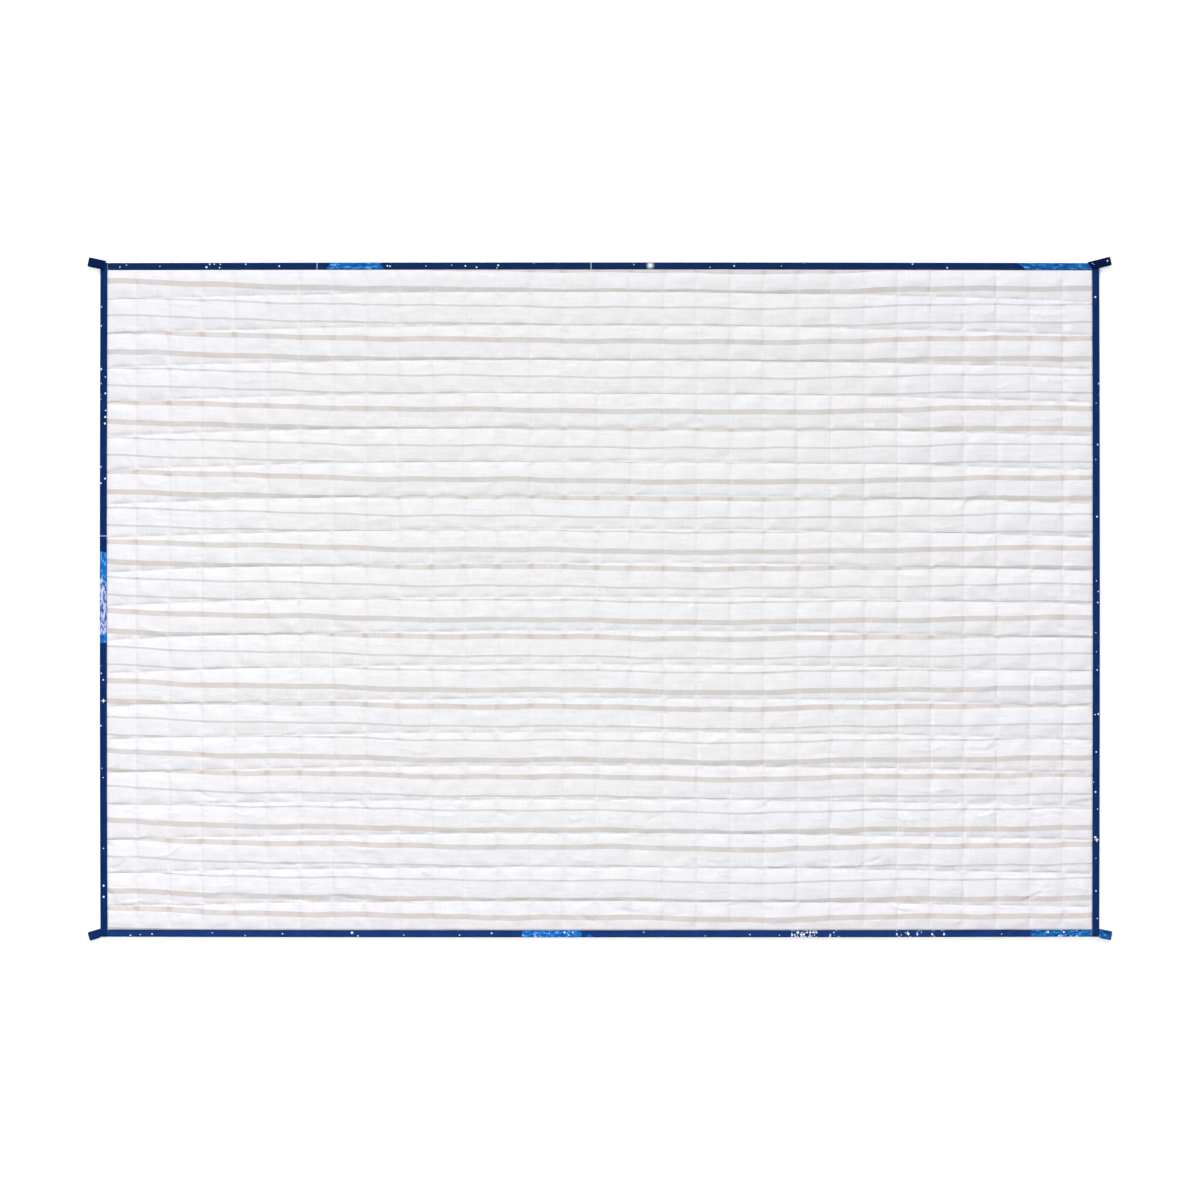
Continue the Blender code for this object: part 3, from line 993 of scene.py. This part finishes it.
def star_group():
    """A printed star with twice as many points as its turns."""
    inputs = {"Tape": None, "Middle": None, "Size": 0.003, "Turns": 2.0, "Core": 0.4}
    tree, given, result = new_group("Printed star", inputs, ["Star"])
    away = vector_sum("SUBTRACT", given["Tape"], given["Middle"])["Vector"]
    parts = split(away)
    angle = maths("ARCTAN2", parts["Y"], parts["X"]) * given["Turns"]
    point = abs(maths("COSINE", angle)) ** 4.0
    reach = given["Size"] * (given["Core"] + point * (1.0 - given["Core"]))
    distance = vector_sum("LENGTH", away)["Value"]
    link(1.0 - soft_step(distance / reach, 0.75, 1.0), result["Star"])
    return tree


def dot_group():
    """A printed dot."""
    inputs = {"Tape": None, "Middle": None, "Size": 0.001}
    tree, given, result = new_group("Printed dot", inputs, ["Dot"])
    distance = vector_sum("DISTANCE", given["Tape"], given["Middle"])["Value"]
    link(1.0 - soft_step(distance / given["Size"], 0.7, 1.0), result["Dot"])
    return tree


def speck_group():
    """Printed dots of many sizes, strewn at random."""
    inputs = {"Tape": None, "Spacing": 0.009, "Largest": 0.001, "Share": 0.5}
    tree, given, result = new_group("Printed specks", inputs, ["Specks"])
    cells = strewn_cells(given["Tape"], given["Spacing"], 0.85)
    draw = drawn(cells)
    size = given["Largest"] * draw["Green"] ** 1.6
    dot = 1.0 - soft_step(cells["Distance"] * given["Spacing"], size * 0.7, size)
    link(dot * maths("LESS_THAN", draw["Red"], given["Share"]), result["Specks"])
    return tree


def patch_group():
    """A patch of lighter blue with uneven slanting ends, mottled like dyed cloth."""
    inputs = {"Tape": None, "Start": 0.0, "End": 0.1, "Slant": 1.0}
    tree, given, result = new_group("Printed patch", inputs, ["Patch", "Mottle"])
    parts = split(given["Tape"])
    rough = noise(given["Tape"], 160.0, 3.0, 0.6) - 0.5
    lean = (parts["Y"] + rough * 0.006) * given["Slant"]
    past = parts["X"] - given["Start"] - lean
    left = given["End"] - parts["X"] - lean
    ends = [soft_step(end, -0.4 * MM, 0.8 * MM) for end in (past, left)]
    link(ends[0] * ends[1], result["Patch"])
    link(noise(stretched(given["Tape"], 95.0, 240.0), 1.0, 5.0, 0.62), result["Mottle"])
    return tree


def material_with_shader(name, roughness, sheen=0.0, sheen_roughness=0.4, specular=0.25):
    material = bpy.data.materials.new(name)
    material.use_nodes = True
    shader = material.node_tree.nodes["Principled BSDF"].inputs
    shader["Roughness"].default_value = roughness
    shader["Specular IOR Level"].default_value = specular
    shader["Sheen Weight"].default_value = sheen
    shader["Sheen Roughness"].default_value = sheen_roughness
    return material, material.node_tree, shader


def striped_cotton(groups):
    """White cotton with pale warm grey stripes woven across it."""
    material, tree, shader = material_with_shader("Striped cotton", 0.92, 0.12, 0.5)
    cloth = attribute(tree, "cloth")
    weave = use_group(tree, groups["weave"], Cloth=cloth, Yarn=0.55 * MM)
    sewing = use_group(tree, groups["sewing"], Cloth=cloth, Quilting=attribute(tree, "quilting"))
    parts = split(cloth)
    frayed = (noise(cloth, 900.0) - 0.5) * (0.7 * MM)
    down = STRIPE_START - parts["Y"] + frayed
    distance = maths("FRACT", down / STRIPE_REPEAT) * STRIPE_REPEAT
    stripes = None
    for middle, half_width in STRIPES:
        sizes = {"Middle": middle * MM, "Half_width": half_width * MM}
        band = use_group(tree, groups["band"], Distance=distance, **sizes)["Band"]
        stripes = band if stripes is None else maths("MAXIMUM", stripes, band)
    yarns = weave["Slubs"] - 0.5
    # The stripes darken beside the rows and at the crossings: partly packed cloth, partly painted
    # shade.
    packed_and_shaded = (sewing["Line"] + sewing["Gather and shade"] * 0.85) * 0.42
    dye = packed_and_shaded + 0.49 + yarns * 1.1
    # Random clouds of tone, and a painted bluish tint of light that grows towards the blanket's
    # ends and sides.
    cloud = (noise(cloth, 5.5) - 0.5) * 0.9
    to_ends = (parts["X"] * 1.15) ** 2.0
    to_sides = ((parts["Y"] - 0.09) * 1.5) ** 2.0
    clouds_and_painted_rim_light = soft_step(cloud + (to_ends + to_sides), -0.1, 1.1)
    white = mix_colour(clouds_and_painted_rim_light, opaque(MIDDLE_WHITE), opaque(WHITE_IN_COOL_LIGHT))
    dyed = mix_colour(stripes * dye, white, opaque(STRIPE_GREY))
    # Painted shade: the white is a little darker at the crossings below each row.
    shade = 1.0 - sewing["Gather and shade"] * 0.012 + yarns * 0.34
    link(shaded(dyed, shade), shader["Base Color"])
    creases, wrinkles = (
        use_group(tree, groups["crease"], Cloth=cloth, **sizes)["Creases"] for sizes in CREASE_SIZES
    )
    often = to_ends + soft_step(parts["Y"], 0.0, -0.42) + 0.3
    folds = bump((creases + wrinkles * 0.4) * often, 0.48 * MM, 1.0)
    folds = bump(sewing["Puckers"], 1.2 * MM, 1.0, folds)
    folds = bump(noise(cloth, 75.0, 4.0, 0.55), 1.2 * MM, 0.55, folds)
    folds = bump(weave["Slubs"], 0.3 * MM, 0.6, folds)
    link(bump(weave["Knuckles"], 0.08 * MM, 0.6, folds), shader["Normal"])
    return material


def printed_tape(name, groups, prints, painted_fold_shade):
    """Navy cotton tape printed with white dots and stars and a few patches of lighter blue."""
    material, tree, shader = material_with_shader(name, 0.85, specular=0.03)
    tape = attribute(tree, "tape")
    parts = split(tape)
    weave = use_group(tree, groups["weave"], Cloth=tape, Yarn=0.45 * MM)
    tone = prints["tone"]
    colour = mix_colour(noise(tape, 38.0, 3.0), opaque(tone, 0.62), opaque(tone, 1.35))

    def printed(kind, **inputs):
        return use_group(tree, groups[kind], Tape=tape, **inputs)

    for start, end, slant, light in prints.get("patches", ()):
        patch = printed("patch", Start=start * MM, End=end * MM, Slant=slant)
        deep, middle, pale = (opaque(blue, light) for blue in PATCH_BLUES)
        blue = mix_colour(soft_step(patch["Mottle"], 0.36, 0.58), deep, middle)
        blue = mix_colour(soft_step(patch["Mottle"], 0.54, 0.64), blue, pale)
        colour = mix_colour(patch["Patch"], colour, blue)
    for start, end, slant in prints.get("pale", ()):
        patch = printed("patch", Start=start * MM, End=end * MM, Slant=slant)
        mottle = soft_step(patch["Mottle"], 0.45, 0.55)
        mottled = mix_colour(mottle, *(opaque(blue) for blue in PALE_BLUES))
        colour = mix_colour(patch["Patch"], colour, mottled)
    marks = printed("speck", Spacing=13 * MM, Largest=1.1 * MM, Share=0.3)["Specks"] * 0.6
    for start, end, share in prints.get("sprays", ()):
        specks = printed("speck", Spacing=3.4 * MM, Largest=2.6 * MM, Share=share)["Specks"]
        there = printed("patch", Start=start * MM, End=end * MM, Slant=0.0)["Patch"]
        marks = maths("MAXIMUM", marks, specks * there)
    for along, across, size in prints.get("dots", ()):
        middle = (along * MM, across * MM, 0.0)
        marks = maths("MAXIMUM", marks, printed("dot", Middle=middle, Size=size * MM)["Dot"])
    for along, across, size, turns, core in prints.get("stars", ()):
        middle = (along * MM, across * MM, 0.0)
        star = printed("star", Middle=middle, Size=size * MM, Turns=turns, Core=core)["Star"]
        marks = maths("MAXIMUM", marks, star)
    for middle in prints.get("ticks", ()):
        sizes = {"Middle": middle * MM, "Half_width": 0.7 * MM, "Softness": 0.4 * MM}
        tick = use_group(tree, groups["band"], Distance=parts["X"], **sizes)["Band"]
        marks = maths("MAXIMUM", marks, tick * 0.5)
    colour = mix_colour(marks * 0.95, colour, opaque(PRINTED_WHITE))
    # Painted shade: the tape's colour is darkened towards both its folded edges.
    edge = soft_step(abs(parts["Y"]), 3.8 * MM, 5.8 * MM)
    shade = (1.0 - edge * painted_fold_shade) * ((weave["Slubs"] - 0.5) * 0.5 + 1.0)
    link(shaded(colour, shade), shader["Base Color"])
    folds = bump(noise(stretched(tape, 420.0, 160.0), 1.0), 0.8 * MM, 0.5)
    folds = bump(weave["Slubs"], 0.2 * MM, 0.5, folds)
    link(bump(weave["Knuckles"], 0.08 * MM, 0.7, folds), shader["Normal"])
    return material


def thread(name, colour):
    """Spun sewing thread."""
    material, tree, shader = material_with_shader(name, 0.7, 0.1)
    fibre = noise(add(tree, "ShaderNodeTexCoord")["Object"], 2600.0)
    link(mix_colour(fibre, opaque(colour, 0.8), opaque(colour)), shader["Base Color"])
    link(bump(fibre, 0.1 * MM, 0.6), shader["Normal"])
    return material


def floor_material():
    material, tree, shader = material_with_shader("White floor", 0.9, specular=0.1)
    spot = add(tree, "ShaderNodeTexCoord")["Object"]
    darker, lighter = (opaque((tone, tone, tone)) for tone in (0.93, 0.95))
    link(mix_colour(noise(spot, 2.0), darker, lighter), shader["Base Color"])
    shader["Emission Color"].default_value = (1, 1, 1, 1)
    shader["Emission Strength"].default_value = 0.2  # a table lit a little from below
    return material


# ---- The studio ----


def hang(lamp, spot, target):
    light = new_object(lamp.name, lamp)
    light.location = spot
    light.rotation_euler = (Vector(target) - Vector(spot)).to_track_quat("-Z", "Y").to_euler()


def make_studio():
    shape = bmesh.new()
    bmesh.ops.create_grid(shape, x_segments=1, y_segments=1, size=FLOOR_SIZE)
    floor = finish_shape("floor", shape, floor_material())
    camera = bpy.data.cameras.new("camera")
    camera.lens = LENS_MM
    camera.sensor_width = SENSOR_MM
    camera.clip_start = 0.01
    SCENE.camera = new_object("camera", camera)
    SCENE.camera.location = CAMERA_SPOT
    window = bpy.data.lights.new("window", "SUN")
    window.angle = math.radians(WINDOW_WIDTH_DEG)
    window.energy = WINDOW_LIGHT
    hang(window, WINDOW_SPOT, (0.0, 0.0, 0.0))
    for values in SOFTBOXES:
        row = dict(zip(SOFTBOX_COLUMNS, values))
        softbox = bpy.data.lights.new(row["name"], "AREA")
        softbox.shape = "RECTANGLE"
        softbox.size, softbox.size_y = row["size"]
        softbox.spread = math.radians(row["spread_deg"])
        softbox.energy = row["power"]
        hang(softbox, row["spot"], row["target"])
    SCENE.world = bpy.data.worlds.new("studio")
    SCENE.world.use_nodes = True
    room = SCENE.world.node_tree.nodes["Background"].inputs
    room["Color"].default_value = opaque(ROOM_TONE)
    room["Strength"].default_value = ROOM_LIGHT
    SCENE.view_settings.view_transform = "Standard"


def main():
    make_studio()
    groups = {
        "band": band_group(),
        "weave": yarn_group(),
        "sewing": sewing_group(),
        "crease": crease_group(),
        "star": star_group(),
        "dot": dot_group(),
        "speck": speck_group(),
        "patch": patch_group(),
    }
    panel, top = make_panel(striped_cotton(groups))
    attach(panel, "root")
    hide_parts("quilted_panel")

    tapes = {
        side: printed_tape(side.capitalize() + " tape", groups, prints, 0.55)
        for side, prints in TAPE_PRINTS.items()
    }
    side_reach = end_edge(HALF_WIDTH) - TAPE_WIDTH - CLEARANCE - TAPE_CLOTH / 2
    end_reach = HALF_WIDTH - SIDE_BULGE - TAPE_CLOTH / 2
    strips = (
        ("top", place_on_side(1), side_reach, 340, False),
        ("bottom", place_on_side(-1), side_reach, 340, False),
        ("left", place_on_end(-1), end_reach, 230, True),
        ("right", place_on_end(1), end_reach, 230, True),
    )
    for number, (side, place, reach, steps, closed_ends) in enumerate(strips):
        start = 1.0 + number
        tape = make_tape("tape_" + side, place, reach, steps, start, closed_ends, tapes[side])
        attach(tape, "root")
        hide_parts("binding_" + side)
        2 * reach

    loop_materials = {
        name: printed_tape(name.replace("_", " ").capitalize(), groups, prints, 0.35)
        for name, prints in LOOP_PRINTS.items()
    }
    for values in LOOPS:
        size = dict(zip(LOOP_COLUMNS, values))
        loop, length = make_loop(size, loop_materials[size["name"]])
        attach(loop, "root")
        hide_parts(size["name"])

    tree = stitch_tree()
    white_thread = thread("White thread", WHITE_THREAD)
    navy_thread = thread("Navy thread", NAVY_THREAD)
    step = len(TOP_SHARES)
    lift = np.array((0.0, 0.0, STITCH_LIFT))
    rows = [top[number * step, 1:-1] + lift for number in range(1, ROWS)]
    columns = [top[1:-1, number * step] + lift for number in range(1, COLUMNS)]
    for name, lines in (("row_stitching", rows), ("column_stitching", columns)):
        stitches = sew(name, lines, STITCH_PITCH, STITCH_SIZE, white_thread, tree)
        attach(stitches, "root")
    lines = []
    seat = TAPE_SEAT + TAPE_CLOTH - TAPE_STITCH_SINK
    for number, (_, place, reach, _, _) in enumerate(strips):
        line = []
        for along in np.linspace(-reach + 2 * MM, reach - 2 * MM, 400):
            inward = TAPE_STITCH_LINE + TAPE_WANDER * ripple(along, 1.0 + number)
            line.append(place(along, inward, seat))
        lines.append(line)
    sizes = (TAPE_STITCH_PITCH, TAPE_STITCH_SIZE)
    stitches = sew("tape_stitching", lines, *sizes, navy_thread, tree)
    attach(stitches, "root")


main()
